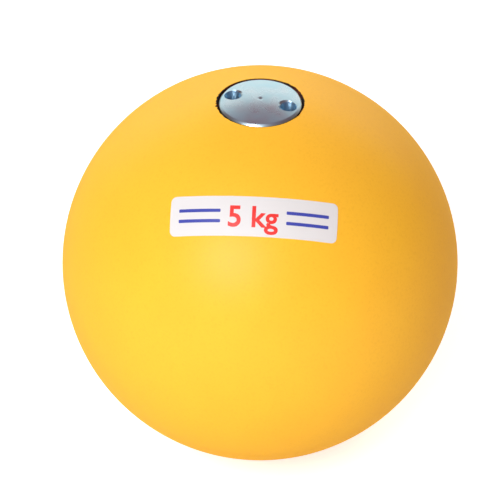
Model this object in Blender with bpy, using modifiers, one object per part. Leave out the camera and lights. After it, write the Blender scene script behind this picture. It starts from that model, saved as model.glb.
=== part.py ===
"""Shot put ball, 5 kg class: a cast-iron ball with a calibration chamber that a screw plug closes.

The ball is turned from grey cast iron. A chamber is drilled into it from the top and tapped at its mouth.
Poured lead and lead pellets in the chamber bring the ball to its mass. A steel disc and a rubber packing
press them together under a threaded plug, which is domed to finish flush with the ball. A thin vinyl
label lies on the front.

Units are metres. The origin is the ball's centre, +Z is the chamber's axis, and the label faces -Y.
"""

import math

import bmesh
import bpy
from mathutils import Matrix

# Ball
BALL_DIAMETER = 0.110

# Chamber and thread (M24 x 2, right-handed)
THREAD_DIAMETER = 0.024
THREAD_PITCH = 0.002
THREAD_CLEARANCE = 0.00015
FLANK_ANGLE = math.radians(30)
THREAD_DEPTH_IN_PITCHES = 0.6134
CHAMBER_DEPTH = 0.075
DRILL_POINT_ANGLE = math.radians(118)
MOUTH_RELIEF = 0.00005

# Closing plug
PLUG_LENGTH = 0.016
PLUG_COLLAR_STEP = 0.0006
PLUG_UNDERCUT = 0.0005
PLUG_RIM_CHAMFER = 0.0006
SPANNER_HOLE_DIAMETER = 0.0045
SPANNER_HOLE_DEPTH = 0.006
SPANNER_HOLE_WALL = 0.00037
SPANNER_HOLE_COUNTERSINK = 0.00025
SPANNER_HOLES_TURN = math.radians(-20.3)
CENTRE_MARK_DIAMETER = 0.0012
CENTRE_MARK_ANGLE = math.radians(120)

# Filling of the chamber
PACKING_THICKNESS = 0.006
PACKING_EDGE_RADIUS = 0.0005
PRESSURE_DISC_THICKNESS = 0.002
PRESSURE_DISC_CHAMFER = 0.0003
PELLET_DIAMETER = 0.007
PELLET_COUNT = 14
PELLET_GAP = 0.0002
FIT_GAP = 0.0003

# Label, on the ball's front, above its middle
LABEL_LENGTH = 0.0455
LABEL_HEIGHT = 0.0108
LABEL_CORNER_RADIUS = 0.0015
LABEL_THICKNESS = 0.00015
LABEL_GAP = 0.0001
LABEL_ELEVATION = math.radians(49.2)
LABEL_AZIMUTH = math.radians(-3.5)
LABEL_TILT = math.radians(-0.3)

# Facets
TURNED_STEPS = 48
HOLE_STEPS = 20
PELLET_SEGMENTS = 12
PELLET_RINGS = 8
CORNER_POINTS = 4
WELD_DISTANCE = 0.000002
SHARP_ANGLE = math.radians(30)

# Heights and radii that follow from the sizes above
BALL_RADIUS = BALL_DIAMETER / 2
GROOVE_RADIUS = THREAD_DIAMETER / 2
CHAMBER_RADIUS = (THREAD_DIAMETER - THREAD_PITCH) / 2
MOUTH_RADIUS = GROOVE_RADIUS + MOUTH_RELIEF
CHAMBER_FLOOR = BALL_RADIUS - CHAMBER_DEPTH
DRILL_POINT_SLOPE = 1 / math.tan(DRILL_POINT_ANGLE / 2)
CREST_RADIUS = GROOVE_RADIUS - THREAD_CLEARANCE
THREAD_DEPTH = THREAD_DEPTH_IN_PITCHES * THREAD_PITCH
ROOT_RADIUS = CREST_RADIUS - THREAD_DEPTH
FACE_RADIUS = CREST_RADIUS - PLUG_COLLAR_STEP
PLUG_BOTTOM = BALL_RADIUS - PLUG_LENGTH
MOUTH_HEIGHT = math.sqrt(BALL_RADIUS**2 - MOUTH_RADIUS**2)
COLLAR_BOTTOM = MOUTH_HEIGHT - (MOUTH_RADIUS - FACE_RADIUS - FIT_GAP)
UNDERCUT_TOP = COLLAR_BOTTOM - (FACE_RADIUS - ROOT_RADIUS)
FILLING_RADIUS = CHAMBER_RADIUS - FIT_GAP
PACKING_TOP = PLUG_BOTTOM - FIT_GAP
PACKING_BOTTOM = PACKING_TOP - PACKING_THICKNESS
PRESSURE_DISC_TOP = PACKING_BOTTOM - FIT_GAP
PRESSURE_DISC_BOTTOM = PRESSURE_DISC_TOP - PRESSURE_DISC_THICKNESS
PELLET_SPACING = PELLET_DIAMETER + PELLET_GAP
PELLET_RING_RADIUS = CHAMBER_RADIUS - PELLET_GAP - PELLET_DIAMETER / 2
STEP_ANGLE = 2 * math.pi / TURNED_STEPS
FLANK_SLOPE = math.tan(FLANK_ANGLE)
CREST_WIDTH = THREAD_PITCH / 8
RIDGE_FOOT = THREAD_PITCH / 20


def clear_scene():
    for old in list(bpy.data.objects):
        bpy.data.objects.remove(old, do_unlink=True)


def new_collection(name):
    collection = bpy.data.collections.new(name)
    bpy.context.scene.collection.children.link(collection)
    return collection


def new_material(name, colour, roughness, metallic):
    material = bpy.data.materials.new(name)
    material.use_nodes = True
    shader = material.node_tree.nodes["Principled BSDF"]
    shader.inputs["Base Color"].default_value = (*colour, 1)
    shader.inputs["Roughness"].default_value = roughness
    shader.inputs["Metallic"].default_value = metallic
    material.diffuse_color = (*colour, 1)
    return material


def sphere_height(radius, sphere_radius=BALL_RADIUS):
    """Height of the sphere's surface above its centre, at this distance from the axis."""
    return math.sqrt(sphere_radius**2 - radius**2)


def arc(sphere_radius, start, end):
    """Points of a sphere's profile between two angles from +Z, about one facet apart."""
    count = max(2, round(abs(end - start) / STEP_ANGLE))
    angles = [start + (end - start) * i / count for i in range(count + 1)]
    return [(sphere_radius * math.sin(a), sphere_radius * math.cos(a)) for a in angles]


def object_of(name, mesh, collection, material=None):
    made = bpy.data.objects.new(name, mesh)
    collection.objects.link(made)
    if material:
        mesh.materials.append(material)
    return made


def as_cutter(cutter):
    cutter.hide_render = True
    cutter.display_type = "WIRE"
    return cutter


def turned(name, profile, collection, material=None, steps=TURNED_STEPS, closed=False):
    """A turned shape. The profile's points are (radius, height) and run down the outer side.

    Turned shapes that cut each other are turned by a part of a facet, so that their edges never meet.
    """
    work = bmesh.new()
    points = [work.verts.new((radius, 0, height)) for radius, height in profile]
    for first, second in zip(points, points[1:]):
        work.edges.new((first, second))
    if closed:
        work.edges.new((points[-1], points[0]))
    mesh = bpy.data.meshes.new(name)
    work.to_mesh(mesh)
    work.free()
    made = object_of(name, mesh, collection, material)
    screw = made.modifiers.new("Turn", "SCREW")
    screw.axis = "Z"
    screw.steps = steps
    screw.render_steps = steps
    screw.use_merge_vertices = True
    screw.merge_threshold = WELD_DISTANCE
    screw.use_smooth_shade = True
    return made


def combine(target, other, operation):
    boolean = target.modifiers.new(other.name, "BOOLEAN")
    boolean.solver = "EXACT"
    boolean.operation = operation
    boolean.object = other


def weld(mesh):
    """Joins the points that a Boolean leaves beside each other, and closes the slivers between them."""
    work = bmesh.new()
    work.from_mesh(mesh)
    bmesh.ops.remove_doubles(work, verts=work.verts[:], dist=WELD_DISTANCE)
    bmesh.ops.triangulate(work, faces=work.faces[:])
    bmesh.ops.dissolve_degenerate(work, edges=work.edges[:], dist=WELD_DISTANCE)
    bmesh.ops.triangulate(work, faces=work.faces[:])
    work.to_mesh(mesh)
    work.free()


def finish(made, origin_height=0.0):
    """Keeps the shape that the modifiers give, and puts the origin on the axis at this height."""
    bpy.context.view_layer.update()
    graph = bpy.context.evaluated_depsgraph_get()
    rough = made.data
    mesh = bpy.data.meshes.new_from_object(made.evaluated_get(graph))
    mesh.name = made.name
    made.modifiers.clear()
    made.data = mesh
    bpy.data.meshes.remove(rough)
    weld(mesh)
    mesh.transform(Matrix.Translation((0, 0, -origin_height)))
    made.location.z = origin_height
    mesh.shade_smooth()
    mesh.set_sharp_from_angle(angle=SHARP_ANGLE)
    return made


def thread_ridge(name, wall_radius, crest_radius, clearance, bottom, top, collection):
    """A right-handed helical ridge with 60 degree flanks, on a wall or cutting into one.

    It runs out at 45 degrees at both ends, and meets the wall at these heights. Its foot is a little
    inside the wall. Clearance thickens it all round, so that the ridge that cuts the ball's groove stays
    clear of the plug's own ridge.
    """
    inner_radius = wall_radius - RIDGE_FOOT
    half_crest = CREST_WIDTH / 2 + clearance * (1 / math.cos(FLANK_ANGLE) - FLANK_SLOPE)
    half_root = half_crest + (crest_radius - inner_radius) * FLANK_SLOPE
    first_turn = math.floor(bottom / THREAD_PITCH) - 1
    turns = math.ceil(top / THREAD_PITCH) + 1 - first_turn
    start = first_turn * THREAD_PITCH
    section = [
        (inner_radius, start - half_root),
        (crest_radius, start - half_crest),
        (crest_radius, start + half_crest),
        (inner_radius, start + half_root),
    ]
    work = bmesh.new()
    corners = [work.verts.new((radius, 0, height)) for radius, height in section]
    work.faces.new(corners)
    bmesh.ops.spin(
        work,
        geom=work.verts[:] + work.edges[:] + work.faces[:],
        cent=(0, 0, 0),
        axis=(0, 0, 1),
        dvec=(0, 0, THREAD_PITCH / TURNED_STEPS),
        angle=2 * math.pi * turns,
        steps=TURNED_STEPS * turns,
    )
    bmesh.ops.recalc_face_normals(work, faces=work.faces[:])
    mesh = bpy.data.meshes.new(name)
    work.to_mesh(mesh)
    work.free()
    ridge = as_cutter(object_of(name, mesh, collection))
    ridge.rotation_euler.z = STEP_ANGLE / 2
    tip_radius = inner_radius - RIDGE_FOOT
    outer_radius = crest_radius + THREAD_CLEARANCE
    run_out = outer_radius - wall_radius
    past_wall = wall_radius - tip_radius
    ends = turned(
        name + "_ends",
        [
            (0, top + past_wall),
            (tip_radius, top + past_wall),
            (outer_radius, top - run_out),
            (outer_radius, bottom + run_out),
            (tip_radius, bottom - past_wall),
            (0, bottom - past_wall),
        ],
        collection,
    )
    ends.rotation_euler.z = STEP_ANGLE / 4
    combine(ridge, as_cutter(ends), "INTERSECT")
    return ridge


def build_ball(parts, cutters):
    iron = new_material("powder_coated_cast_iron", (1.0, 0.62, 0.05), 0.45, 0.0)
    tip = CHAMBER_FLOOR - CHAMBER_RADIUS * DRILL_POINT_SLOPE
    bore_top = MOUTH_HEIGHT - (MOUTH_RADIUS - CHAMBER_RADIUS)
    chamber = [(0, tip), (CHAMBER_RADIUS, CHAMBER_FLOOR), (CHAMBER_RADIUS, bore_top)]
    outside = arc(BALL_RADIUS, math.asin(MOUTH_RADIUS / BALL_RADIUS), math.pi)
    outside[-1] = (0, -BALL_RADIUS)
    ball = turned("ball_body", chamber + outside, parts, iron)
    groove = thread_ridge(
        "ball_thread_groove",
        CHAMBER_RADIUS,
        GROOVE_RADIUS,
        THREAD_CLEARANCE,
        PLUG_BOTTOM - THREAD_PITCH,
        BALL_RADIUS + THREAD_PITCH,
        cutters,
    )
    combine(ball, groove, "DIFFERENCE")
    return finish(ball)


def spanner_hole_spacing():
    """Distance between the spanner holes, which stay inside the root of the thread."""
    return 2 * (ROOT_RADIUS - SPANNER_HOLE_WALL) - SPANNER_HOLE_DIAMETER


def build_plug(parts, cutters):
    steel = new_material("zinc_plated_steel", (0.55, 0.6, 0.65), 0.35, 1.0)
    mark_radius = CENTRE_MARK_DIAMETER / 2
    mark_bottom = sphere_height(mark_radius) - mark_radius / math.tan(CENTRE_MARK_ANGLE / 2)
    face_edge = FACE_RADIUS - PLUG_RIM_CHAMFER
    dome = arc(BALL_RADIUS, math.asin(mark_radius / BALL_RADIUS), math.asin(face_edge / BALL_RADIUS))
    below_dome = [
        (FACE_RADIUS, sphere_height(face_edge) - PLUG_RIM_CHAMFER),
        (FACE_RADIUS, COLLAR_BOTTOM),
        (ROOT_RADIUS, UNDERCUT_TOP),
        (ROOT_RADIUS, PLUG_BOTTOM),
        (0, PLUG_BOTTOM),
    ]
    plug = turned("closing_plug", [(0, mark_bottom)] + dome + below_dome, parts, steel)
    ridge = thread_ridge(
        "plug_thread_ridge",
        ROOT_RADIUS,
        CREST_RADIUS,
        0,
        PLUG_BOTTOM + THREAD_CLEARANCE,
        UNDERCUT_TOP - PLUG_UNDERCUT,
        cutters,
    )
    combine(plug, ridge, "UNION")
    for side in (-1, 1):
        combine(plug, spanner_hole(side, cutters), "DIFFERENCE")
    return finish(plug, PLUG_BOTTOM)


def spanner_hole(side, cutters):
    """A drilled blind hole with a countersunk mouth, on one side of the plug's centre."""
    offset = spanner_hole_spacing() / 2
    radius = SPANNER_HOLE_DIAMETER / 2
    floor = sphere_height(offset) - SPANNER_HOLE_DEPTH
    mouth_bottom = sphere_height(offset) - SPANNER_HOLE_COUNTERSINK
    above = BALL_RADIUS - mouth_bottom
    profile = [
        (0, mouth_bottom + above),
        (radius + above, mouth_bottom + above),
        (radius, mouth_bottom),
        (radius, floor),
        (0, floor - radius * DRILL_POINT_SLOPE),
    ]
    name = "spanner_hole_left" if side < 0 else "spanner_hole_right"
    hole = turned(name, profile, cutters, steps=HOLE_STEPS)
    hole.location.x = side * offset * math.cos(SPANNER_HOLES_TURN)
    hole.location.y = side * offset * math.sin(SPANNER_HOLES_TURN)
    return as_cutter(hole)


def build_discs(parts):
    """The rubber packing under the plug, and the steel disc that spreads its pressure."""
    rubber = new_material("rubber", (0.02, 0.02, 0.02), 0.7, 0.0)
    steel = new_material("mild_steel", (0.35, 0.35, 0.36), 0.4, 1.0)
    for name, thickness, edge, bottom, material in (
        ("packing_disc", PACKING_THICKNESS, PACKING_EDGE_RADIUS, PACKING_BOTTOM, rubber),
        ("pressure_disc", PRESSURE_DISC_THICKNESS, PRESSURE_DISC_CHAMFER, PRESSURE_DISC_BOTTOM, steel),
    ):
        top = bottom + thickness
        profile = [
            (0, top),
            (FILLING_RADIUS - edge, top),
            (FILLING_RADIUS, top - edge),
            (FILLING_RADIUS, bottom + edge),
            (FILLING_RADIUS - edge, bottom),
            (0, bottom),
        ]
        finish(turned(name, profile, parts, material), bottom)


def pellet_places():
    """Centres of the pellets, from the lowest layer up, and the height of the lowest layer's centres.

    A layer is a ring against the chamber's wall, round one more pellet in the middle where it fits. Each
    ring lies in the hollows of the ring below it, the last layer takes the pellets that are left, and the
    top of the pile meets the pressure disc.
    """
    in_ring = int(math.pi / math.asin(PELLET_SPACING / (2 * PELLET_RING_RADIUS)))
    in_middle = 1 if PELLET_RING_RADIUS >= PELLET_SPACING else 0
    layers = math.ceil(PELLET_COUNT / (in_ring + in_middle))
    sideways = 2 * PELLET_RING_RADIUS * math.sin(math.pi / (2 * in_ring))
    ring_rise = math.sqrt(max(PELLET_SPACING**2 - sideways**2, 0))
    rise = PELLET_SPACING if in_middle else ring_rise
    lowest = PRESSURE_DISC_BOTTOM - FIT_GAP - PELLET_DIAMETER / 2 - (layers - 1) * rise
    places = []
    for number in range(PELLET_COUNT):
        layer, place = divmod(number, in_ring + in_middle)
        if place < in_middle:
            places.append((0, 0, lowest + layer * PELLET_SPACING))
            continue
        angle = 2 * math.pi * (place - in_middle + layer / 2) / in_ring
        x = PELLET_RING_RADIUS * math.cos(angle)
        y = PELLET_RING_RADIUS * math.sin(angle)
        places.append((x, y, lowest + layer * ring_rise))
    return places, lowest


def build_pellets(parts):
    lead = new_material("lead_shot", (0.2, 0.21, 0.23), 0.5, 1.0)
    work = bmesh.new()
    bmesh.ops.create_uvsphere(
        work, u_segments=PELLET_SEGMENTS, v_segments=PELLET_RINGS, radius=PELLET_DIAMETER / 2
    )
    mesh = bpy.data.meshes.new("pellet")
    work.to_mesh(mesh)
    work.free()
    mesh.shade_smooth()
    mesh.materials.append(lead)
    places, _ = pellet_places()
    for number, place in enumerate(places, start=1):
        pellet = bpy.data.objects.new(f"pellet_{number:02d}", mesh)
        pellet.location = place
        parts.objects.link(pellet)


def build_lead_core(parts):
    """Poured lead that fills the drill point and the bore up to the pellets."""
    lead = new_material("cast_lead", (0.17, 0.18, 0.2), 0.6, 1.0)
    _, lowest = pellet_places()
    top = lowest - PELLET_DIAMETER / 2 - FIT_GAP
    tip_gap = FIT_GAP / math.sin(DRILL_POINT_ANGLE / 2)
    tip = CHAMBER_FLOOR - CHAMBER_RADIUS * DRILL_POINT_SLOPE + tip_gap
    shoulder = tip + FILLING_RADIUS * DRILL_POINT_SLOPE
    profile = [(0, top), (FILLING_RADIUS, top), (FILLING_RADIUS, shoulder), (0, tip)]
    finish(turned("lead_core", profile, parts, lead), tip)


def label_turn():
    """Rotation that takes the label from lying flat at the pole to its place on the front."""
    around = Matrix.Rotation(LABEL_AZIMUTH, 4, "Z")
    down = Matrix.Rotation(math.pi / 2 - LABEL_ELEVATION, 4, "X")
    return around @ down @ Matrix.Rotation(LABEL_TILT, 4, "Z")


def label_outline(cutters):
    """A block with rounded corners that cuts the label out of a layer around the ball.

    Its length is the straight distance between the ends of a label that is laid along the ball.
    """
    half_length = BALL_RADIUS * math.sin(LABEL_LENGTH / BALL_DIAMETER)
    half_height = BALL_RADIUS * math.sin(LABEL_HEIGHT / BALL_DIAMETER)
    corner_x = half_length - LABEL_CORNER_RADIUS
    corner_y = half_height - LABEL_CORNER_RADIUS
    points = []
    for quarter, (x, y) in enumerate(((1, 1), (-1, 1), (-1, -1), (1, -1))):
        for i in range(CORNER_POINTS + 1):
            angle = (quarter + i / CORNER_POINTS) * math.pi / 2
            points.append(
                (
                    x * corner_x + LABEL_CORNER_RADIUS * math.cos(angle),
                    y * corner_y + LABEL_CORNER_RADIUS * math.sin(angle),
                )
            )
    curve = bpy.data.curves.new("label_outline", "CURVE")
    curve.dimensions = "2D"
    curve.fill_mode = "BOTH"
    curve.extrude = BALL_RADIUS / 2
    spline = curve.splines.new("POLY")
    spline.points.add(len(points) - 1)
    for point, (x, y) in zip(spline.points, points):
        point.co = (x, y, 0, 1)
    spline.use_cyclic_u = True
    drawn = bpy.data.objects.new("label_outline_curve", curve)
    cutters.objects.link(drawn)
    bpy.context.view_layer.update()
    graph = bpy.context.evaluated_depsgraph_get()
    mesh = bpy.data.meshes.new_from_object(drawn.evaluated_get(graph))
    bpy.data.objects.remove(drawn, do_unlink=True)
    work = bmesh.new()
    work.from_mesh(mesh)
    bmesh.ops.remove_doubles(work, verts=work.verts[:], dist=WELD_DISTANCE)
    bmesh.ops.recalc_face_normals(work, faces=work.faces[:])
    work.to_mesh(mesh)
    work.free()
    block = as_cutter(object_of("label_outline", mesh, cutters))
    block.matrix_world = label_turn() @ Matrix.Translation((0, 0, BALL_RADIUS))
    return block


def build_label(parts, cutters):
    vinyl = new_material("white_vinyl", (0.9, 0.9, 0.9), 0.3, 0.0)
    inner = BALL_RADIUS + LABEL_GAP
    outer = inner + LABEL_THICKNESS
    mouth = math.asin(MOUTH_RADIUS / BALL_RADIUS)
    top_down = arc(1.0, mouth, math.pi)[:-1]
    outside = [(outer * radius, outer * height) for radius, height in top_down]
    inside = [(inner * radius, inner * height) for radius, height in reversed(top_down)]
    label = turned("label", outside + inside, parts, vinyl, closed=True)
    combine(label, label_outline(cutters), "INTERSECT")
    return finish(label)


def build():
    clear_scene()
    parts = new_collection("shot_put_ball")
    cutters = new_collection("cutters")
    build_ball(parts, cutters)
    build_plug(parts, cutters)
    build_discs(parts)
    build_pellets(parts)
    build_lead_core(parts)
    build_label(parts, cutters)


build()
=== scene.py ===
import math
import random

import bmesh
import bpy
from mathutils import Matrix, Vector, noise


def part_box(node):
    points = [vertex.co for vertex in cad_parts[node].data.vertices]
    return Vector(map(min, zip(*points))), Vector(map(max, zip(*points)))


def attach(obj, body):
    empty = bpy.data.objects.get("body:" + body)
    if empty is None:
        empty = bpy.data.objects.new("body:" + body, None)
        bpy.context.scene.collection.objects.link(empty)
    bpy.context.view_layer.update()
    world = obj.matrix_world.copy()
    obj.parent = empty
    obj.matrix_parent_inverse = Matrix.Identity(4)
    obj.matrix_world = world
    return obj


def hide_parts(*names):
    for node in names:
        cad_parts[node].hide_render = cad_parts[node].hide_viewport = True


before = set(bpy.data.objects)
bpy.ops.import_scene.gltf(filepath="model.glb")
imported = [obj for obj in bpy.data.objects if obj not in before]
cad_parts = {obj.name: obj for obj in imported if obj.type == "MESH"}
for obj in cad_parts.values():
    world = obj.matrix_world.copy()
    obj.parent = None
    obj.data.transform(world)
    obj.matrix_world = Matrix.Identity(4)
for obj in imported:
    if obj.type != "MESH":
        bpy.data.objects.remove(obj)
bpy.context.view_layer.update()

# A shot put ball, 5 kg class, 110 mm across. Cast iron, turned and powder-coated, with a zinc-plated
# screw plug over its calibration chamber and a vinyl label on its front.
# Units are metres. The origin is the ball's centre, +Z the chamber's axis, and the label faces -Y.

# Ball, chamber and thread (M24 x 2), as the CAD model has them
BALL_RADIUS = 0.055
THREAD_RADIUS = 0.012
THREAD_PITCH = 0.002
THREAD_CLEARANCE = 0.00015
THREAD_DEPTH_IN_PITCHES = 0.6134
FLANK_ANGLE = math.radians(30)
RIDGE_FOOT = THREAD_PITCH / 20
BORE_RADIUS = THREAD_RADIUS - THREAD_PITCH / 2
MOUTH_RELIEF = 0.00005
MOUTH_RADIUS = THREAD_RADIUS + MOUTH_RELIEF
CHAMBER_DEPTH = 0.075
DRILL_POINT_ANGLE = math.radians(118)
DRILL_SLOPE = 1 / math.tan(DRILL_POINT_ANGLE / 2)
FIT_GAP = 0.0003

# Closing plug, as the CAD model has it, with its rim's corners rounded
COLLAR_STEP = 0.0006
CREST_RADIUS = THREAD_RADIUS - THREAD_CLEARANCE
ROOT_RADIUS = CREST_RADIUS - THREAD_DEPTH_IN_PITCHES * THREAD_PITCH
FACE_RADIUS = CREST_RADIUS - COLLAR_STEP
RIM_CHAMFER = 0.0006
RIM_ROUND = 0.00012
UNDERCUT = 0.0005
FOOT_CHAMFER = 0.0003
HOLE_RADIUS = 0.00225
HOLE_OFFSET = 0.008
HOLE_DEPTH = 0.006
HOLE_COUNTERSINK = 0.00025
HOLES_TURN = math.radians(-20.3)
MARK_RADIUS = 0.0006
MARK_DEPTH = 0.00016

# Zinc film in the spanner holes: a little milkier than on the plug's face, with this roughness added
HOLE_METALLIC = 0.92
HOLE_DULLNESS = 0.05

# Powder coat, and how deep the casting's surface lies below its top. Within the reach of the coat's
# edge its rows of faces are finer, and chips fade out
COAT_THICKNESS = 0.00012
CASTING_INSET = COAT_THICKNESS * 1.05
COAT_EDGE_RADIUS = 0.01188
COAT_EDGE_REACH = math.radians(2.5)

# Chips in the coat's edge: place round the mouth in degrees from +X, half width in degrees, depth.
# The broken edge has teeth, which are full size where a chip is this deep, and it wanders a little
COAT_CHIPS = (
    (178, 20, 0.00022),
    (214, 12, 0.00010),
    (42, 18, 0.00017),
    (4, 12, 0.00008),
    (-31, 5, 0.00024),
)
CHIP_TEETH = 0.00045
CHIP_TOOTH_WIDTH = 0.0005
TEETH_FULL_DEPTH = 0.0002
TEETH_ON_WHOLE_EDGE = 0.2
EDGE_WANDER = 0.00003
EDGE_WAVES = 5

# Label: a film with ink on it, drawn flat in cells small enough to follow the ball
LABEL_LENGTH = 0.0455
LABEL_HEIGHT = 0.0108
LABEL_CORNER = 0.0015
LABEL_LIFT = 0.00002
LABEL_THICKNESS = 0.00012
INK_LIFT = LABEL_LIFT + LABEL_THICKNESS
INK_THICKNESS = 0.00001
LABEL_ELEVATION = math.radians(49.2)
LABEL_AZIMUTH = math.radians(-3.5)
LABEL_TILT = math.radians(-0.6)
LABEL_CELL = 0.0008
LETTER_HEIGHT = 0.0056
LETTER_WEIGHT = 0.02
STRIPE_SIZE = (0.0115, 0.0009)
STRIPE_CORNER = 0.0002
STRIPE_PLACES = ((-0.0145, -0.0014), (-0.0145, 0.0014), (0.0145, -0.0014), (0.0145, 0.0014))

# The chamber's filling: rounded edges, the sunken top of the poured lead, and dents (depth, size)
PACKING_EDGE = 0.0005
WASHER_EDGE = 0.0003
LEAD_EDGE = 0.0003
LEAD_SINK = 0.0004
LEAD_DENTS = (0.00008, 0.004)
PELLET_DENTS = (0.00012, 0.003)
PELLET_SHARE = 0.985

# Fineness of the meshes: steps round an axis, and rows along a profile
COAT_STEPS = 480
TURNED_STEPS = 96
HOLE_STEPS = 64
COAT_EDGE_ROWS = 12
COAT_ROWS = 72
CASTING_ROWS = 64
DOME_ROWS = 24
DISC_RINGS = 6
LEAD_RINGS = 12
LEAD_ROWS = 24
PELLET_SUBDIVISIONS = 4
STEP_ANGLE = 2 * math.pi / TURNED_STEPS
WELD = 0.000002
SHARP_ANGLE = math.radians(30)

# Light: one big softbox from the front left, a dim room, and a white backdrop behind the ball.
# Room and backdrop light the ball in one colour, and gloss mirrors them in another
KEY_AZIMUTH = math.radians(-22)
KEY_ELEVATION = math.radians(37)
KEY_DISTANCE = 1.1
KEY_SIZE = 0.6
KEY_POWER = 9.75
KEY_COLOUR = (1.0, 1.0, 1.03)
ROOM_LEFT = (0.56, 0.42, 0.44)
ROOM_RIGHT = (0.26, 0.13, 0.11)
ROOM_IN_GLOSS = (0.25, 0.13, 0.17)
ROOM_SIDES_IN_GLOSS = (0.15, 0.07, 0.06)

# The backdrop's top edge fades between two elevations, its sides between two values of Y
BACKDROP_LIGHT = 3.6
BACKDROP_TOP = (math.radians(33.5), math.radians(40))
BACKDROP_SIDES = (0.35, 0.8)
BACKDROP_FALL_OFF = 5.0

# The floor, and how much whiter than lit it looks to the camera and in gloss
FLOOR_REACH = 3
FLOOR_GAP = 0.0001
FLOOR_LIFT = 0.55
FLOOR_LIFT_IN_GLOSS = 0.05

# The photograph's camera: where the ball stands in its 504 pixel frame
FRAME_PIXELS = 504
BALL_CENTRE_PIXEL = (260.05, 262.7)
BALL_RADIUS_PIXELS = 197.7
CAMERA_AZIMUTH = math.radians(-0.6)
CAMERA_ELEVATION = math.radians(36.4)
CAMERA_ROLL = math.radians(0.15)
CAMERA_DISTANCE = 18 * BALL_RADIUS
SENSOR_WIDTH = 36

# The node that mixes two colours: its kind and its sockets
OF_COLOURS = {"data_type": "RGBA"}
FACTOR, FIRST, SECOND, MIXED = 0, 6, 7, 2

# Most values of a noise texture lie in this span
NOISE_SPAN = {"From Min": 0.3, "From Max": 0.7}


def sphere_height(radius, sphere_radius=BALL_RADIUS):
    """Height of the sphere's surface above its centre, at this distance from the axis."""
    return math.sqrt(sphere_radius**2 - radius**2)


def arc(sphere_radius, start, end, count):
    """Points (radius, height) of a sphere's profile, between two angles from +Z."""
    angles = [start + (end - start) * i / count for i in range(count + 1)]
    return [(sphere_radius * math.sin(a), sphere_radius * math.cos(a)) for a in angles]


def rounded(corner_radius, height, size, count=6):
    """Points of a quarter round between a top face and an outer wall that meet at (radius, height)."""
    points = []
    for i in range(count + 1):
        angle = math.pi / 2 * i / count
        across = corner_radius - size * (1 - math.sin(angle))
        points.append((across, height - size * (1 - math.cos(angle))))
    return points


def softened(before, corner, after, size, count=4):
    """Points that round a profile's corner off, starting and ending this far from it."""
    before, corner, after = Vector(before), Vector(corner), Vector(after)
    start = corner + (before - corner).normalized() * size
    end = corner + (after - corner).normalized() * size
    points = []
    for i in range(count + 1):
        share = i / count
        points.append(tuple(start.lerp(corner, share).lerp(corner.lerp(end, share), share)))
    return points


# Modelling


def mesh_from(work, name):
    """Ends the bmesh and gives its mesh."""
    mesh = bpy.data.meshes.new(name)
    work.to_mesh(mesh)
    work.free()
    return mesh


def clean(work):
    """Joins points that lie together, drops what collapses, and turns the faces outwards."""
    bmesh.ops.remove_doubles(work, verts=work.verts[:], dist=WELD)
    bmesh.ops.dissolve_degenerate(work, edges=work.edges[:], dist=WELD)
    bmesh.ops.recalc_face_normals(work, faces=work.faces[:])


def spun(profile, steps=TURNED_STEPS, turn=0.0):
    """A turned body: the profile's points (radius, height), taken once round the Z axis.

    Bodies that cut each other start at different parts of a step, so that their edges never meet.
    """
    work = bmesh.new()
    points = [work.verts.new((radius, 0, height)) for radius, height in profile]
    for first, second in zip(points, points[1:]):
        work.edges.new((first, second))
    bmesh.ops.spin(
        work,
        geom=work.verts[:] + work.edges[:],
        cent=(0, 0, 0),
        axis=(0, 0, 1),
        angle=2 * math.pi,
        steps=steps,
        use_merge=True,
    )
    clean(work)
    bmesh.ops.rotate(work, verts=work.verts[:], cent=(0, 0, 0), matrix=Matrix.Rotation(turn, 3, "Z"))
    return work


def combined(base, *others):
    """The base bmesh with others joined, cut away or kept in common, as one bmesh."""
    made = bpy.data.objects.new("base", mesh_from(base, "base"))
    bpy.context.collection.objects.link(made)
    helpers = []
    for operation, work in others:
        helper = bpy.data.objects.new("helper", mesh_from(work, "helper"))
        bpy.context.collection.objects.link(helper)
        helpers.append(helper)
        boolean = made.modifiers.new("Boolean", "BOOLEAN")
        boolean.solver = "EXACT"
        boolean.operation = operation
        boolean.object = helper
    bpy.context.view_layer.update()
    graph = bpy.context.evaluated_depsgraph_get()
    result = bmesh.new()
    result.from_mesh(made.evaluated_get(graph).to_mesh())
    for helper in [made, *helpers]:
        bpy.data.objects.remove(helper, do_unlink=True)
    # Triangles first: a face with a sliver cut into it could be lost when its points are joined
    bmesh.ops.triangulate(result, faces=result.faces[:])
    clean(result)
    return result


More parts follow.
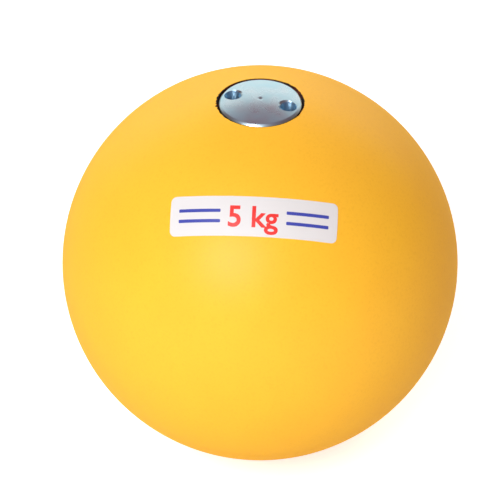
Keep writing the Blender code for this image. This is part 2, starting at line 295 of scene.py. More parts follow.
def thread_ridge(wall_radius, crest_radius, clearance, bottom, top):
    """A right-handed helical ridge with 60 degree flanks, whose ends run out at 45 degrees."""
    inner_radius = wall_radius - RIDGE_FOOT
    # The crest's flat is an eighth of the pitch, and a clearance is measured square to the flanks
    half_crest = THREAD_PITCH / 16 + clearance * (1 / math.cos(FLANK_ANGLE) - math.tan(FLANK_ANGLE))
    half_root = half_crest + (crest_radius - inner_radius) * math.tan(FLANK_ANGLE)
    first_turn = math.floor(bottom / THREAD_PITCH) - 1
    turns = math.ceil(top / THREAD_PITCH) + 1 - first_turn
    start = first_turn * THREAD_PITCH
    section = (
        (inner_radius, start - half_root),
        (crest_radius, start - half_crest),
        (crest_radius, start + half_crest),
        (inner_radius, start + half_root),
    )
    ridge = bmesh.new()
    ridge.faces.new([ridge.verts.new((radius, 0, height)) for radius, height in section])
    bmesh.ops.spin(
        ridge,
        geom=ridge.verts[:] + ridge.edges[:] + ridge.faces[:],
        cent=(0, 0, 0),
        axis=(0, 0, 1),
        dvec=(0, 0, THREAD_PITCH / TURNED_STEPS),
        angle=2 * math.pi * turns,
        steps=TURNED_STEPS * turns,
    )
    bmesh.ops.recalc_face_normals(ridge, faces=ridge.faces[:])
    half_step = Matrix.Rotation(STEP_ANGLE / 2, 3, "Z")
    bmesh.ops.rotate(ridge, verts=ridge.verts[:], cent=(0, 0, 0), matrix=half_step)
    tip_radius = inner_radius - RIDGE_FOOT
    outer_radius = crest_radius + THREAD_CLEARANCE
    run_out = outer_radius - wall_radius
    past_wall = wall_radius - tip_radius
    ends = [
        (0, top + past_wall),
        (tip_radius, top + past_wall),
        (outer_radius, top - run_out),
        (outer_radius, bottom + run_out),
        (tip_radius, bottom - past_wall),
        (0, bottom - past_wall),
    ]
    return combined(ridge, ("INTERSECT", spun(ends, turn=STEP_ANGLE / 4)))


def piece(name, work, material, body, replaced=()):
    """Makes the bmesh a piece of the object, which moves with this body."""
    mesh = mesh_from(work, name)
    mesh.shade_smooth()
    mesh.set_sharp_from_angle(angle=SHARP_ANGLE)
    mesh.materials.append(material)
    made = bpy.data.objects.new(name, mesh)
    bpy.context.collection.objects.link(made)
    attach(made, body)
    if replaced:
        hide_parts(*replaced)


# Materials


def linear(code):
    """Linear colour of an sRGB hex code."""
    values = [int(code[i : i + 2], 16) / 255 for i in (1, 3, 5)]
    return [v / 12.92 if v <= 0.04045 else ((v + 0.055) / 1.055) ** 2.4 for v in values] + [1]


def add_node(tree, kind, settings=None, inputs=None):
    """Adds a node with its settings. An input is a value, or the output that feeds it."""
    made = tree.nodes.new(kind)
    for name, value in (settings or {}).items():
        setattr(made, name, value)
    for name, value in (inputs or {}).items():
        if isinstance(value, bpy.types.NodeSocket):
            tree.links.new(value, made.inputs[name])
        else:
            made.inputs[name].default_value = value
    return made


def new_material(name, **values):
    """A material with one Principled shader, and its tree, shader and object coordinates."""
    material = bpy.data.materials.new(name)
    material.use_nodes = True
    tree = material.node_tree
    shader = tree.nodes["Principled BSDF"]
    for socket, value in values.items():
        shader.inputs[socket.replace("_", " ")].default_value = value
    place = add_node(tree, "ShaderNodeTexCoord").outputs["Object"]
    return material, tree, shader, place


def dress(tree, shader, colour, gloss, relief):
    """Gives the shader its colour, its roughness and its normal."""
    tree.links.new(colour.outputs[MIXED], shader.inputs["Base Color"])
    tree.links.new(gloss.outputs["Result"], shader.inputs["Roughness"])
    tree.links.new(relief.outputs["Normal"], shader.inputs["Normal"])


def wave_scale(spacing):
    """Scale of a wave texture whose crests are this far apart."""
    return 2 * math.pi / (20 * spacing)


def powder_coat():
    """Polyester powder coat, sprayed dry and baked: a thick satin skin with a fine pebble in it.

    All its shine is in the coat layer. The pebble hides the sheen that a smooth coat has at a slant,
    so the layer has a small weight and a high index, which keep the highlight and dull the rim.
    """
    shine = {"Specular_IOR_Level": 0.0, "Coat_Weight": 0.24, "Coat_IOR": 1.75}
    material, tree, shader, place = new_material("polyester_powder_coat", **shine)
    # Slightly thicker and thinner cover, in clouds about 12 mm across
    cloud = add_node(tree, "ShaderNodeTexNoise", inputs={"Vector": place, "Scale": 1 / 0.012})
    cover = {FACTOR: cloud.outputs["Fac"], FIRST: linear("#fabf34"), SECOND: linear("#fcc635")}
    cover = add_node(tree, "ShaderNodeMix", OF_COLOURS, cover)
    # Pebble of the melted powder, and the slower flow under it
    pebble = {"Vector": place, "Scale": 1 / 0.0007, "Detail": 3.0}
    pebble = add_node(tree, "ShaderNodeTexNoise", inputs=pebble)
    flow = add_node(tree, "ShaderNodeTexNoise", inputs={"Vector": place, "Scale": 1 / 0.0028})
    # Painted shade: the coat darkens towards a deeper orange in the pebble's hollows, where the bump
    # dips
    hollow_shade = {"Value": pebble.outputs["Fac"], "From Min": 0.3, "From Max": 0.5}
    hollow_shade.update({"To Min": 0.14, "To Max": 0.0})
    hollow_shade = add_node(tree, "ShaderNodeMapRange", inputs=hollow_shade)
    coat_with_hollow_shade = {FACTOR: hollow_shade.outputs["Result"], FIRST: cover.outputs[MIXED], SECOND: linear("#d99a1c")}
    coat_with_hollow_shade = add_node(tree, "ShaderNodeMix", OF_COLOURS, coat_with_hollow_shade)
    gloss = {**NOISE_SPAN, "Value": pebble.outputs["Fac"], "To Min": 0.38, "To Max": 0.46}
    gloss = add_node(tree, "ShaderNodeMapRange", inputs=gloss)
    waves = {"Height": flow.outputs["Fac"], "Distance": 0.00001}
    waves = add_node(tree, "ShaderNodeBump", inputs=waves)
    grain = {"Height": pebble.outputs["Fac"], "Distance": 0.00002, "Normal": waves.outputs["Normal"]}
    grain = add_node(tree, "ShaderNodeBump", inputs=grain)
    dress(tree, shader, coat_with_hollow_shade, gloss, grain)
    tree.links.new(gloss.outputs["Result"], shader.inputs["Coat Roughness"])
    tree.links.new(grain.outputs["Normal"], shader.inputs["Coat Normal"])
    return material


def grey_iron():
    """Turned grey cast iron with a little rust, coloured near black as painted shade in the gap
    where the coat doesn't reach.
    """
    material, tree, shader, place = new_material("turned_grey_cast_iron", Metallic=0.5)
    rust = {"Vector": place, "Scale": 1 / 0.004, "Detail": 4.0, "Roughness": 0.7}
    rust = add_node(tree, "ShaderNodeTexNoise", inputs=rust)
    spread = {"Value": rust.outputs["Fac"], "From Min": 0.46, "From Max": 0.62}
    spread = add_node(tree, "ShaderNodeMapRange", inputs=spread)
    # Painted shade: the iron's base is near black for the shade in the gap round the plug; the redder
    # patches are rust
    colour = {FACTOR: spread.outputs["Result"], FIRST: linear("#221b19"), SECOND: linear("#6e3122")}
    colour = add_node(tree, "ShaderNodeMix", OF_COLOURS, colour)
    gloss = {**NOISE_SPAN, "Value": rust.outputs["Fac"], "To Min": 0.45, "To Max": 0.8}
    gloss = add_node(tree, "ShaderNodeMapRange", inputs=gloss)
    # Graphite pores of grey iron, 0.4 mm apart
    pores = add_node(tree, "ShaderNodeTexNoise", inputs={"Vector": place, "Scale": 1 / 0.0004})
    relief = {"Height": pores.outputs["Fac"], "Distance": 0.00001}
    relief = add_node(tree, "ShaderNodeBump", inputs=relief)
    dress(tree, shader, colour, gloss, relief)
    return material


def zinc_plate():
    """Bright zinc plate on turned steel, blue-passivated: a pale sheen that clouds from grey to blue.

    The film is deepest blue in the spanner holes, where the bath drains last and the drill left its
    grooves, and it is a darker grey in and round the drilled centre mark.
    """
    material, tree, shader, place = new_material("blue_passivated_zinc_plate", Metallic=1.0)
    cloud = {"Vector": place, "Scale": 1 / 0.0055, "Detail": 1.0}
    cloud = add_node(tree, "ShaderNodeTexNoise", inputs=cloud)
    bluer = {**NOISE_SPAN, "Value": cloud.outputs["Fac"]}
    bluer = add_node(tree, "ShaderNodeMapRange", inputs=bluer)
    film = {FACTOR: bluer.outputs["Result"], FIRST: linear("#cddfe4"), SECOND: linear("#bde3ec")}
    film = add_node(tree, "ShaderNodeMix", OF_COLOURS, film)
    # Distance from the nearer hole's axis, measured in plan
    plan = {0: place, 1: (1, 1, 0)}
    plan = add_node(tree, "ShaderNodeVectorMath", {"operation": "MULTIPLY"}, plan)
    reaches = []
    for side in (-1, 1):
        ends = {0: plan.outputs["Vector"], 1: hole_place(side)}
        reach = add_node(tree, "ShaderNodeVectorMath", {"operation": "DISTANCE"}, ends)
        reaches.append(reach.outputs["Value"])
    nearer = {0: reaches[0], 1: reaches[1]}
    nearer = add_node(tree, "ShaderNodeMath", {"operation": "MINIMUM"}, nearer)
    inside = add_node(
        tree,
        "ShaderNodeMapRange",
        inputs={
            "Value": nearer.outputs["Value"],
            "From Min": HOLE_RADIUS + WELD,
            "From Max": HOLE_RADIUS + HOLE_COUNTERSINK / 2,
            "To Min": 1.0,
            "To Max": 0.0,
        },
    )
    holes = {FACTOR: inside.outputs["Result"], FIRST: film.outputs[MIXED], SECOND: linear("#a9d4ec")}
    holes = add_node(tree, "ShaderNodeMix", OF_COLOURS, holes)
    from_axis = {0: plan.outputs["Vector"]}
    from_axis = add_node(tree, "ShaderNodeVectorMath", {"operation": "LENGTH"}, from_axis)
    # A darker grey in and round the drilled centre mark
    centre_grey = add_node(
        tree,
        "ShaderNodeMapRange",
        inputs={
            "Value": from_axis.outputs["Value"],
            "From Min": MARK_RADIUS * 0.5,
            "From Max": MARK_RADIUS * 1.2,
            "To Min": 0.85,
            "To Max": 0.0,
        },
    )
    marked = {FACTOR: centre_grey.outputs["Result"], FIRST: holes.outputs[MIXED], SECOND: linear("#80868f")}
    marked = add_node(tree, "ShaderNodeMix", OF_COLOURS, marked)
    gloss = {**NOISE_SPAN, "Value": cloud.outputs["Fac"], "To Min": 0.24, "To Max": 0.33}
    gloss = add_node(tree, "ShaderNodeMapRange", inputs=gloss)
    gloss = {0: inside.outputs["Result"], 1: HOLE_DULLNESS, 2: gloss.outputs["Result"]}
    gloss = add_node(tree, "ShaderNodeMath", {"operation": "MULTIPLY_ADD"}, gloss)
    # The real lathe rings are about 0.15 mm apart, drawn 0.35 mm apart so that they show
    rings = add_node(
        tree,
        "ShaderNodeTexWave",
        {"wave_type": "RINGS", "rings_direction": "Z"},
        {"Vector": place, "Scale": wave_scale(0.00035), "Distortion": 0.6},
    )
    # Grooves that the drill left in the holes, 0.25 mm apart
    drilled = add_node(
        tree,
        "ShaderNodeTexWave",
        {"bands_direction": "Z"},
        {"Vector": place, "Scale": wave_scale(0.00025), "Distortion": 1.5},
    )
    drilled = {0: drilled.outputs["Fac"], 1: inside.outputs["Result"]}
    drilled = add_node(tree, "ShaderNodeMath", {"operation": "MULTIPLY"}, drilled)
    drilled = {"Height": drilled.outputs["Value"], "Distance": 0.00004}
    drilled = add_node(tree, "ShaderNodeBump", inputs=drilled)
    swell = {"Height": cloud.outputs["Fac"], "Distance": 0.00001, "Normal": drilled.outputs["Normal"]}
    swell = add_node(tree, "ShaderNodeBump", inputs=swell)
    relief = {"Height": rings.outputs["Fac"], "Distance": 0.0000006, "Normal": swell.outputs["Normal"]}
    relief = add_node(tree, "ShaderNodeBump", inputs=relief)
    milky = {"Value": inside.outputs["Result"], "To Min": 1.0, "To Max": HOLE_METALLIC}
    milky = add_node(tree, "ShaderNodeMapRange", inputs=milky)
    tree.links.new(marked.outputs[MIXED], shader.inputs["Base Color"])
    tree.links.new(milky.outputs["Result"], shader.inputs["Metallic"])
    tree.links.new(gloss.outputs["Value"], shader.inputs["Roughness"])
    tree.links.new(relief.outputs["Normal"], shader.inputs["Normal"])
    return material


def moulded_rubber():
    """Moulded nitrile rubber: black and matt, with a faint grey bloom."""
    material, tree, shader, place = new_material("moulded_nitrile_rubber")
    bloom = {"Vector": place, "Scale": 1 / 0.002, "Detail": 4.0}
    bloom = add_node(tree, "ShaderNodeTexNoise", inputs=bloom)
    colour = {FACTOR: bloom.outputs["Fac"], FIRST: linear("#121212"), SECOND: linear("#2a2927")}
    colour = add_node(tree, "ShaderNodeMix", OF_COLOURS, colour)
    gloss = {**NOISE_SPAN, "Value": bloom.outputs["Fac"], "To Min": 0.6, "To Max": 0.8}
    gloss = add_node(tree, "ShaderNodeMapRange", inputs=gloss)
    skin = add_node(tree, "ShaderNodeTexNoise", inputs={"Vector": place, "Scale": 1 / 0.0003})
    relief = {"Height": skin.outputs["Fac"], "Distance": 0.000008}
    relief = add_node(tree, "ShaderNodeBump", inputs=relief)
    dress(tree, shader, colour, gloss, relief)
    return material


def mild_steel():
    """Blanked mild steel sheet: grey, brushed one way, with light oil stains."""
    material, tree, shader, place = new_material("blanked_mild_steel", Metallic=1.0)
    along = add_node(tree, "ShaderNodeMapping", inputs={"Vector": place, "Scale": (0.05, 1, 1)})
    brushed = {"Vector": along.outputs["Vector"], "Scale": 1 / 0.0002, "Detail": 3.0}
    brushed = add_node(tree, "ShaderNodeTexNoise", inputs=brushed)
    stain = {"Vector": place, "Scale": 1 / 0.004, "Detail": 3.0}
    stain = add_node(tree, "ShaderNodeTexNoise", inputs=stain)
    colour = {FACTOR: stain.outputs["Fac"], FIRST: linear("#97979a"), SECOND: linear("#6e6a64")}
    colour = add_node(tree, "ShaderNodeMix", OF_COLOURS, colour)
    gloss = {**NOISE_SPAN, "Value": brushed.outputs["Fac"], "To Min": 0.3, "To Max": 0.5}
    gloss = add_node(tree, "ShaderNodeMapRange", inputs=gloss)
    relief = {"Height": brushed.outputs["Fac"], "Distance": 0.000004}
    relief = add_node(tree, "ShaderNodeBump", inputs=relief)
    dress(tree, shader, colour, gloss, relief)
    return material


def lead(name, tone, tarnish, shine):
    """Lead: soft and dented, dull blue-grey, with darker tarnish in patches about 2 mm across."""
    material, tree, shader, place = new_material(name, Metallic=1.0)
    patches = {"Vector": place, "Scale": 1 / 0.0018, "Detail": 5.0, "Roughness": 0.6}
    patches = add_node(tree, "ShaderNodeTexNoise", inputs=patches)
    edges = {"Value": patches.outputs["Fac"], "From Min": 0.35, "From Max": 0.65}
    edges = add_node(tree, "ShaderNodeMapRange", inputs=edges)
    colour = {FACTOR: edges.outputs["Result"], FIRST: linear(tone), SECOND: linear(tarnish)}
    colour = add_node(tree, "ShaderNodeMix", OF_COLOURS, colour)
    gloss = {"Value": edges.outputs["Result"], "To Min": shine, "To Max": shine + 0.2}
    gloss = add_node(tree, "ShaderNodeMapRange", inputs=gloss)
    relief = {"Height": patches.outputs["Fac"], "Distance": 0.00004}
    relief = add_node(tree, "ShaderNodeBump", inputs=relief)
    dress(tree, shader, colour, gloss, relief)
    return material


def label_vinyl():
    """Calendered vinyl film: white, semi-gloss, with a soft orange peel where it is stretched."""
    material, tree, shader, place = new_material("calendered_white_vinyl", Specular_IOR_Level=0.3)
    shade = add_node(tree, "ShaderNodeTexNoise", inputs={"Vector": place, "Scale": 1 / 0.008})
    colour = {FACTOR: shade.outputs["Fac"], FIRST: linear("#dbe1df"), SECOND: linear("#dfe4e2")}
    colour = add_node(tree, "ShaderNodeMix", OF_COLOURS, colour)
    peel = add_node(tree, "ShaderNodeTexNoise", inputs={"Vector": place, "Scale": 1 / 0.0015})
    gloss = {**NOISE_SPAN, "Value": peel.outputs["Fac"], "To Min": 0.42, "To Max": 0.5}
    gloss = add_node(tree, "ShaderNodeMapRange", inputs=gloss)
    relief = {"Height": peel.outputs["Fac"], "Distance": 0.000004}
    relief = add_node(tree, "ShaderNodeBump", inputs=relief)
    dress(tree, shader, colour, gloss, relief)
    return material


def screen_ink(name, thin, thick):
    """Screen-printed ink: a thin glossy film, a little uneven where the mesh of the screen was."""
    material, tree, shader, place = new_material(name)
    cover = {"Vector": place, "Scale": 1 / 0.0006, "Detail": 3.0}
    cover = add_node(tree, "ShaderNodeTexNoise", inputs=cover)
    colour = {FACTOR: cover.outputs["Fac"], FIRST: linear(thin), SECOND: linear(thick)}
    colour = add_node(tree, "ShaderNodeMix", OF_COLOURS, colour)
    gloss = {**NOISE_SPAN, "Value": cover.outputs["Fac"], "To Min": 0.28, "To Max": 0.4}
    gloss = add_node(tree, "ShaderNodeMapRange", inputs=gloss)
    relief = {"Height": cover.outputs["Fac"], "Distance": 0.000003}
    relief = add_node(tree, "ShaderNodeBump", inputs=relief)
    dress(tree, shader, colour, gloss, relief)
    return material


# The ball


def chip_depth(angle):
    """How far the coat's edge stands back from its round, at this angle round the mouth."""
    ring = Vector((math.cos(angle), math.sin(angle), 0))
    bite = 0.0
    for place, half_width, depth in COAT_CHIPS:
        away = math.remainder(angle - math.radians(place), 2 * math.pi) / math.radians(half_width)
        bite += depth * math.exp(-away * away)
    teeth = CHIP_TEETH * noise.noise(ring * COAT_EDGE_RADIUS / CHIP_TOOTH_WIDTH)
    wander = EDGE_WANDER * noise.noise(ring * EDGE_WAVES)
    return max(0, bite + wander + teeth * min(1, TEETH_ON_WHOLE_EDGE + bite / TEETH_FULL_DEPTH))


def coat_shell():
    """The powder coat: a thin shell round the casting, broken away raggedly at the mouth."""
    edge_start = math.asin(COAT_EDGE_RADIUS / BALL_RADIUS)
    edge_end = edge_start + COAT_EDGE_REACH
    profile = arc(BALL_RADIUS, edge_start, edge_end, COAT_EDGE_ROWS)
    profile += arc(BALL_RADIUS, edge_end, math.pi, COAT_ROWS)[1:]
    profile[-1] = (0, -BALL_RADIUS)
    work = spun(profile, COAT_STEPS)
    blend_width = BALL_RADIUS * math.sin(edge_end) - COAT_EDGE_RADIUS
    for vert in work.verts:
        radius = vert.co.xy.length
        beyond = radius - COAT_EDGE_RADIUS
        if vert.co.z < 0 or beyond > blend_width:
            continue
        chip = chip_depth(math.atan2(vert.co.y, vert.co.x)) * (1 - beyond / blend_width)
        vert.co.xy *= (radius + chip) / radius
        vert.co.z = sphere_height(radius + chip)
    walls = bmesh.ops.extrude_face_region(work, geom=work.faces[:])
    for vert in (item for item in walls["geom"] if isinstance(item, bmesh.types.BMVert)):
        vert.co *= (BALL_RADIUS - COAT_THICKNESS) / BALL_RADIUS
    bmesh.ops.recalc_face_normals(work, faces=work.faces[:])
    return work


def casting():
    """The iron ball: turned outside, drilled and tapped, with a countersunk mouth."""
    surface = BALL_RADIUS - CASTING_INSET
    floor = BALL_RADIUS - CHAMBER_DEPTH
    profile = [
        (0, floor - BORE_RADIUS * DRILL_SLOPE),
        (BORE_RADIUS, floor),
        (BORE_RADIUS, sphere_height(MOUTH_RADIUS, surface) - (MOUTH_RADIUS - BORE_RADIUS)),
    ]
    profile += arc(surface, math.asin(MOUTH_RADIUS / surface), math.pi, CASTING_ROWS)
    profile[-1] = (0, -surface)
    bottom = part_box("closing_plug")[0].z - THREAD_PITCH
    top = BALL_RADIUS + THREAD_PITCH
    groove = thread_ridge(BORE_RADIUS, THREAD_RADIUS, THREAD_CLEARANCE, bottom, top)
    return combined(spun(profile), ("DIFFERENCE", groove))


def hole_place(side):
    """Where a spanner hole's axis stands in plan, on one side of the plug's centre."""
    return (side * HOLE_OFFSET * math.cos(HOLES_TURN), side * HOLE_OFFSET * math.sin(HOLES_TURN), 0)


def spanner_hole(side):
    """Cutter for a blind hole: softly countersunk mouth, straight wall, drill point."""
    surface = sphere_height(HOLE_OFFSET)
    top = (HOLE_RADIUS + 2 * HOLE_COUNTERSINK, surface + HOLE_COUNTERSINK)
    mouth = (HOLE_RADIUS, surface - HOLE_COUNTERSINK)
    bottom = (HOLE_RADIUS, surface - HOLE_DEPTH)
    profile = [(0, surface + HOLE_RADIUS), (top[0], surface + HOLE_RADIUS), top]
    profile += softened(top, mouth, bottom, HOLE_COUNTERSINK / 2)
    profile += [bottom, (0, surface - HOLE_DEPTH - HOLE_RADIUS * DRILL_SLOPE)]
    work = spun(profile, HOLE_STEPS)
    bmesh.ops.translate(work, verts=work.verts[:], vec=hole_place(side))
    return work


def screw_plug():
    """The plug: domed flush with the ball, with a chamfered rim, a plain collar and a thread.

    The centre mark is a shallow drilled cone with a blunt bottom.
    """
    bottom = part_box("closing_plug")[0].z
    dome_edge = (FACE_RADIUS - RIM_CHAMFER, sphere_height(FACE_RADIUS - RIM_CHAMFER))
    rim = (FACE_RADIUS, dome_edge[1] - RIM_CHAMFER)
    collar_bottom = sphere_height(MOUTH_RADIUS) - (MOUTH_RADIUS - FACE_RADIUS - FIT_GAP)
    undercut_top = collar_bottom - (FACE_RADIUS - ROOT_RADIUS)
    dome_angle = math.asin((dome_edge[0] - RIM_ROUND) / BALL_RADIUS)
    profile = [(0, BALL_RADIUS - MARK_DEPTH), (MARK_RADIUS / 2, BALL_RADIUS - MARK_DEPTH * 0.6)]
    profile += arc(BALL_RADIUS, math.asin(MARK_RADIUS / BALL_RADIUS), dome_angle, DOME_ROWS)
    profile += softened(profile[-1], dome_edge, rim, RIM_ROUND)[1:]
    profile += softened(dome_edge, rim, (FACE_RADIUS, collar_bottom), RIM_ROUND)
    profile += [
        (FACE_RADIUS, collar_bottom),
        (ROOT_RADIUS, undercut_top),
        (ROOT_RADIUS, bottom + FOOT_CHAMFER),
        (ROOT_RADIUS - FOOT_CHAMFER, bottom),
        (0, bottom),
    ]
    ridge_bottom = bottom + FOOT_CHAMFER + THREAD_CLEARANCE
    ridge = thread_ridge(ROOT_RADIUS, CREST_RADIUS, 0, ridge_bottom, undercut_top - UNDERCUT)
    return combined(
        spun(profile),
        ("UNION", ridge),
        ("DIFFERENCE", spanner_hole(-1)),
        ("DIFFERENCE", spanner_hole(1)),
    )


# The label


def label_turn():
    """Rotation that takes the label from the pole to its place on the front."""
    around = Matrix.Rotation(LABEL_AZIMUTH, 3, "Z")
    down = Matrix.Rotation(math.pi / 2 - LABEL_ELEVATION, 3, "X")
    return around @ down @ Matrix.Rotation(LABEL_TILT, 3, "Z")


def rounded_outline(work, length, height, corner, centre=(0, 0), points=8):
    """A flat face with rounded corners, along the label's length and height."""
    verts = []
    for quarter, (x, y) in enumerate(((1, 1), (-1, 1), (-1, -1), (1, -1))):
        for i in range(points + 1):
            angle = (quarter + i / points) * math.pi / 2
            along = centre[0] + x * (length / 2 - corner) + corner * math.cos(angle)
            up = centre[1] + y * (height / 2 - corner) + corner * math.sin(angle)
            verts.append(work.verts.new((along, up, 0)))
    work.faces.new(verts)


def laid_on_ball(work, lift, thickness):
    """Lays a flat drawing in X and Y on the ball at the label's place, and gives it a thickness."""
    for normal in (Vector((1, 0, 0)), Vector((0, 1, 0))):
        reaches = [vert.co.dot(normal) / LABEL_CELL for vert in work.verts]
        for i in range(math.floor(min(reaches)) + 1, math.ceil(max(reaches))):
            bmesh.ops.bisect_plane(
                work,
                geom=work.verts[:] + work.edges[:] + work.faces[:],
                dist=WELD / 10,
                plane_co=normal * LABEL_CELL * i,
                plane_no=normal,
            )
    turn = label_turn()
    for vert in work.verts:
        along, up = vert.co.x / BALL_RADIUS, vert.co.y / BALL_RADIUS
        level = math.cos(up)
        direction = Vector((math.sin(along) * level, math.sin(up), math.cos(along) * level))
        vert.co = turn @ direction * (BALL_RADIUS + lift)
    walls = bmesh.ops.extrude_face_region(work, geom=work.faces[:])
    for vert in (item for item in walls["geom"] if isinstance(item, bmesh.types.BMVert)):
        vert.co *= (BALL_RADIUS + lift + thickness) / (BALL_RADIUS + lift)
    bmesh.ops.recalc_face_normals(work, faces=work.faces[:])
    return work


def drawn_text(words, height, weight):
    """Flat letters, centred on the label's middle, with their tallest letter this high."""
    curve = bpy.data.curves.new("words", "FONT")
    curve.body = words
    curve.size = 1
    curve.offset = weight
    curve.resolution_u = 6
    holder = bpy.data.objects.new("words", curve)
    bpy.context.collection.objects.link(holder)
    bpy.context.view_layer.update()
    graph = bpy.context.evaluated_depsgraph_get()
    work = bmesh.new()
    work.from_mesh(holder.evaluated_get(graph).to_mesh())
    bpy.data.objects.remove(holder, do_unlink=True)
    tallest = max(vert.co.y for vert in work.verts)
    bmesh.ops.scale(work, verts=work.verts[:], vec=[height / tallest] * 3)
    low = min(vert.co.x for vert in work.verts)
    high = max(vert.co.x for vert in work.verts)
    bmesh.ops.translate(work, verts=work.verts[:], vec=(-(low + high) / 2, -height / 2, 0))
    bmesh.ops.remove_doubles(work, verts=work.verts[:], dist=WELD)
    return work


def make_label():
    """White film with plain blue stripes and the ball's mass in red."""
    film = bmesh.new()
    rounded_outline(film, LABEL_LENGTH, LABEL_HEIGHT, LABEL_CORNER)
    laid_on_ball(film, LABEL_LIFT, LABEL_THICKNESS)
    piece("label_film", film, label_vinyl(), "ball", ["label"])

    stripes = bmesh.new()
    for place in STRIPE_PLACES:
        rounded_outline(stripes, *STRIPE_SIZE, STRIPE_CORNER, place, points=2)
    laid_on_ball(stripes, INK_LIFT, INK_THICKNESS)
    blue = screen_ink("blue_screen_ink", "#4351b6", "#3544a2")
    piece("label_stripes", stripes, blue, "ball")

    words = laid_on_ball(drawn_text("5 kg", LETTER_HEIGHT, LETTER_WEIGHT), INK_LIFT, INK_THICKNESS)
    red = screen_ink("red_screen_ink", "#ee3830", "#df2a24")
    piece("label_mass_mark", words, red, "ball")


# The chamber's filling


def edged_disc(radius, bottom, top, edge):
    """Profile of a turned disc with rounded edges, from its top's middle to its bottom's."""
    upper = rounded(radius, top, edge)
    lower = [(across, bottom + top - height) for across, height in reversed(upper)]
    rings = [(radius * i / DISC_RINGS, top) for i in range(DISC_RINGS - 1)]
    return rings + upper + lower + [(across, bottom) for across, _ in reversed(rings)]


def dented(work, depth, size, seed):
    """Moves the points in and out along their normals, in soft dents of about this size."""
    work.normal_update()
    shifts = []
    for vert in work.verts:
        place = vert.co / size + Vector((seed, 0, 0))
        shifts.append((vert, vert.normal * depth * noise.noise(place)))
    for vert, shift in shifts:
        vert.co += shift
    return work


def make_discs():
    """The rubber packing under the plug, and the steel washer that spreads its pressure."""
    for node, body, slot, material, edge in (
        ("packing_disc", "packing", "packing_rubber", moulded_rubber(), PACKING_EDGE),
        ("pressure_disc", "ball", "plain_steel", mild_steel(), WASHER_EDGE),
    ):
        low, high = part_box(node)
        work = spun(edged_disc(high.x, low.z, high.z, edge))
        piece(node.replace("disc", "washer"), work, material, body, [node])


def make_filling():
    """Poured lead with a sunken top, and the pellets that trim the ball's mass."""
    low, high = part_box("lead_core")
    shoulder = low.z + high.x * DRILL_SLOPE
    shares = [i / LEAD_RINGS for i in range(LEAD_RINGS)]
    top = [(high.x * share, high.z - LEAD_SINK * (1 - share**2)) for share in shares]
    wall = [(high.x, high.z - (high.z - shoulder) * i / LEAD_ROWS) for i in range(1, LEAD_ROWS + 1)]
    profile = top + rounded(high.x, high.z, LEAD_EDGE) + wall + [(0, low.z)]
    core = dented(spun(profile), *LEAD_DENTS, seed=1)
    poured = lead("poured_lead", "#6d7075", "#55585d", 0.45)
    piece("lead_filling", core, poured, "ball", ["lead_core"])

    shot = lead("tumbled_lead_shot", "#74777c", "#505358", 0.35)
    chance = random.Random(7)
    for node in sorted(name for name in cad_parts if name.startswith("pellet_")):
        low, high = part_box(node)
        work = bmesh.new()
        # A little small, so that no dent reaches past the CAD pellet
        radius = (high.z - low.z) / 2 * PELLET_SHARE
        bmesh.ops.create_icosphere(work, subdivisions=PELLET_SUBDIVISIONS, radius=radius)
        dented(work, *PELLET_DENTS, seed=chance.random() * 100)
        bmesh.ops.translate(work, verts=work.verts[:], vec=(low + high) / 2)
        piece(node.replace("pellet", "lead_pellet"), work, shot, "ball", [node])


# Floor, light and camera


def make_floor():
    """A plain white floor that keeps the ball's shadow."""
    work = bmesh.new()
    bmesh.ops.create_grid(work, x_segments=8, y_segments=8, size=FLOOR_REACH)
    bmesh.ops.translate(work, verts=work.verts[:], vec=(0, 0, -BALL_RADIUS - FLOOR_GAP))
    mesh = mesh_from(work, "floor")
    material, tree, shader, place = new_material("matt_white_floor", Roughness=0.9)
    tone = add_node(tree, "ShaderNodeTexNoise", inputs={"Vector": place, "Scale": 1 / 0.05})
    colour = {FACTOR: tone.outputs["Fac"], FIRST: linear("#f1f1f1"), SECOND: linear("#f3f3f3")}
    colour = add_node(tree, "ShaderNodeMix", OF_COLOURS, colour)
    path = add_node(tree, "ShaderNodeLightPath")
    in_gloss = {0: path.outputs["Is Glossy Ray"], 1: FLOOR_LIFT_IN_GLOSS, 2: 0.0}
    in_gloss = add_node(tree, "ShaderNodeMath", {"operation": "MULTIPLY_ADD"}, in_gloss)
    lift = {0: path.outputs["Is Camera Ray"], 1: FLOOR_LIFT, 2: in_gloss.outputs["Value"]}
    lift = add_node(tree, "ShaderNodeMath", {"operation": "MULTIPLY_ADD"}, lift)
    shader.inputs["Emission Color"].default_value = (1, 1, 1, 1)
    tree.links.new(colour.outputs[MIXED], shader.inputs["Base Color"])
    tree.links.new(lift.outputs["Value"], shader.inputs["Emission Strength"])
    mesh.materials.append(material)
    floor = bpy.data.objects.new("floor", mesh)
    bpy.context.collection.objects.link(floor)


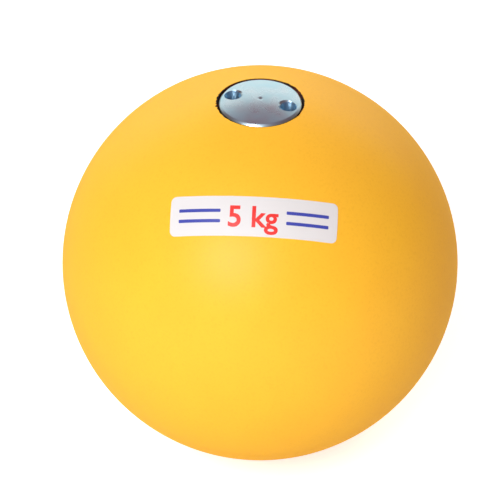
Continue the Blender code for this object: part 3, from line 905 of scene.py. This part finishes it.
def make_surround():
    """White all round for the camera, and for the ball a white backdrop in a dim room."""
    world = bpy.data.worlds.new("white_surround")
    bpy.context.scene.world = world
    world.use_nodes = True
    tree = world.node_tree
    place = add_node(tree, "ShaderNodeTexCoord").outputs["Generated"]
    way = add_node(tree, "ShaderNodeSeparateXYZ", inputs={"Vector": place})
    # The backdrop's top edge rises to the sides, with the square of the distance
    sideways = {0: way.outputs["X"], 1: way.outputs["X"]}
    sideways = add_node(tree, "ShaderNodeMath", {"operation": "MULTIPLY"}, sideways)
    height = {0: way.outputs["Z"], 1: sideways.outputs["Value"]}
    height = add_node(tree, "ShaderNodeMath", {"operation": "SUBTRACT"}, height)
    low, high = [math.sin(angle) for angle in BACKDROP_TOP]
    below_top = {"Value": height.outputs["Value"], "From Min": low, "From Max": high}
    below_top.update({"To Min": 1.0, "To Max": 0.0})
    below_top = add_node(tree, "ShaderNodeMapRange", {"interpolation_type": "SMOOTHSTEP"}, below_top)
    side, middle = BACKDROP_SIDES
    behind = {"Value": way.outputs["Y"], "From Min": side, "From Max": middle}
    behind = add_node(tree, "ShaderNodeMapRange", {"interpolation_type": "SMOOTHSTEP"}, behind)
    backdrop = {0: below_top.outputs["Result"], 1: behind.outputs["Result"]}
    backdrop = add_node(tree, "ShaderNodeMath", {"operation": "MULTIPLY"}, backdrop)
    # Its lamps stand in the middle, so its light falls off to the sides sooner than its look does
    lamps = {0: backdrop.outputs["Value"], 1: BACKDROP_FALL_OFF}
    lamps = add_node(tree, "ShaderNodeMath", {"operation": "POWER"}, lamps)
    across = {"Value": way.outputs["X"], "From Min": -1.0}
    across = add_node(tree, "ShaderNodeMapRange", inputs=across)
    room = {FACTOR: across.outputs["Result"], FIRST: (*ROOM_LEFT, 1), SECOND: (*ROOM_RIGHT, 1)}
    room = add_node(tree, "ShaderNodeMix", OF_COLOURS, room)
    lighting = {FACTOR: lamps.outputs["Value"], FIRST: room.outputs[MIXED]}
    lighting[SECOND] = (*[BACKDROP_LIGHT] * 3, 1)
    lighting = add_node(tree, "ShaderNodeMix", OF_COLOURS, lighting)
    dark = {FACTOR: sideways.outputs["Value"], FIRST: (*ROOM_IN_GLOSS, 1)}
    dark[SECOND] = (*ROOM_SIDES_IN_GLOSS, 1)
    dark = add_node(tree, "ShaderNodeMix", OF_COLOURS, dark)
    in_gloss = {FACTOR: backdrop.outputs["Value"], FIRST: dark.outputs[MIXED], SECOND: (1, 1, 1, 1)}
    in_gloss = add_node(tree, "ShaderNodeMix", OF_COLOURS, in_gloss)
    path = add_node(tree, "ShaderNodeLightPath")
    mirrored = {0: path.outputs["Is Glossy Ray"], 1: path.outputs["Is Transmission Ray"]}
    mirrored = add_node(tree, "ShaderNodeMath", {"operation": "MAXIMUM"}, mirrored)
    unseen = {FACTOR: mirrored.outputs["Value"], FIRST: lighting.outputs[MIXED]}
    unseen[SECOND] = in_gloss.outputs[MIXED]
    unseen = add_node(tree, "ShaderNodeMix", OF_COLOURS, unseen)
    seen = {FACTOR: path.outputs["Is Camera Ray"], FIRST: unseen.outputs[MIXED], SECOND: (1, 1, 1, 1)}
    seen = add_node(tree, "ShaderNodeMix", OF_COLOURS, seen)
    tree.links.new(seen.outputs[MIXED], tree.nodes["Background"].inputs["Color"])


def make_key_light():
    """The softbox: a round lamp that faces the ball."""
    lamp = bpy.data.lights.new("key_softbox", "AREA")
    lamp.shape = "DISK"
    lamp.size = KEY_SIZE
    lamp.energy = KEY_POWER
    lamp.color = KEY_COLOUR
    holder = bpy.data.objects.new("key_softbox", lamp)
    level = math.cos(KEY_ELEVATION)
    towards = Vector(
        (level * math.sin(KEY_AZIMUTH), -level * math.cos(KEY_AZIMUTH), math.sin(KEY_ELEVATION))
    )
    holder.location = towards * KEY_DISTANCE
    holder.rotation_euler = towards.to_track_quat("Z", "Y").to_euler()
    bpy.context.collection.objects.link(holder)


def make_camera():
    """A long lens, shifted so that the ball stands where it does in the photograph."""
    camera = bpy.data.cameras.new("camera")
    camera.sensor_width = SENSOR_WIDTH
    radii = CAMERA_DISTANCE / BALL_RADIUS
    focal_pixels = BALL_RADIUS_PIXELS * math.sqrt(radii**2 - 1)
    camera.lens = SENSOR_WIDTH * focal_pixels / FRAME_PIXELS
    camera.shift_x = (FRAME_PIXELS / 2 - BALL_CENTRE_PIXEL[0]) / FRAME_PIXELS
    camera.shift_y = (BALL_CENTRE_PIXEL[1] - FRAME_PIXELS / 2) / FRAME_PIXELS
    holder = bpy.data.objects.new("camera", camera)
    looking_down = Matrix.Rotation(math.pi / 2 - CAMERA_ELEVATION, 4, "X")
    holder.matrix_world = (
        Matrix.Rotation(CAMERA_AZIMUTH, 4, "Z")
        @ looking_down
        @ Matrix.Rotation(CAMERA_ROLL, 4, "Z")
        @ Matrix.Translation((0, 0, CAMERA_DISTANCE))
    )
    bpy.context.collection.objects.link(holder)
    bpy.context.scene.camera = holder


make_camera()
piece("iron_casting", casting(), grey_iron(), "ball", ["ball_body"])
piece("coat_skin", coat_shell(), powder_coat(), "ball", ["ball_body"])
piece("screw_plug", screw_plug(), zinc_plate(), "plug", ["closing_plug"])
make_label()
make_discs()
make_filling()
make_floor()
make_surround()
make_key_light()
bpy.context.scene.view_settings.view_transform = "Standard"
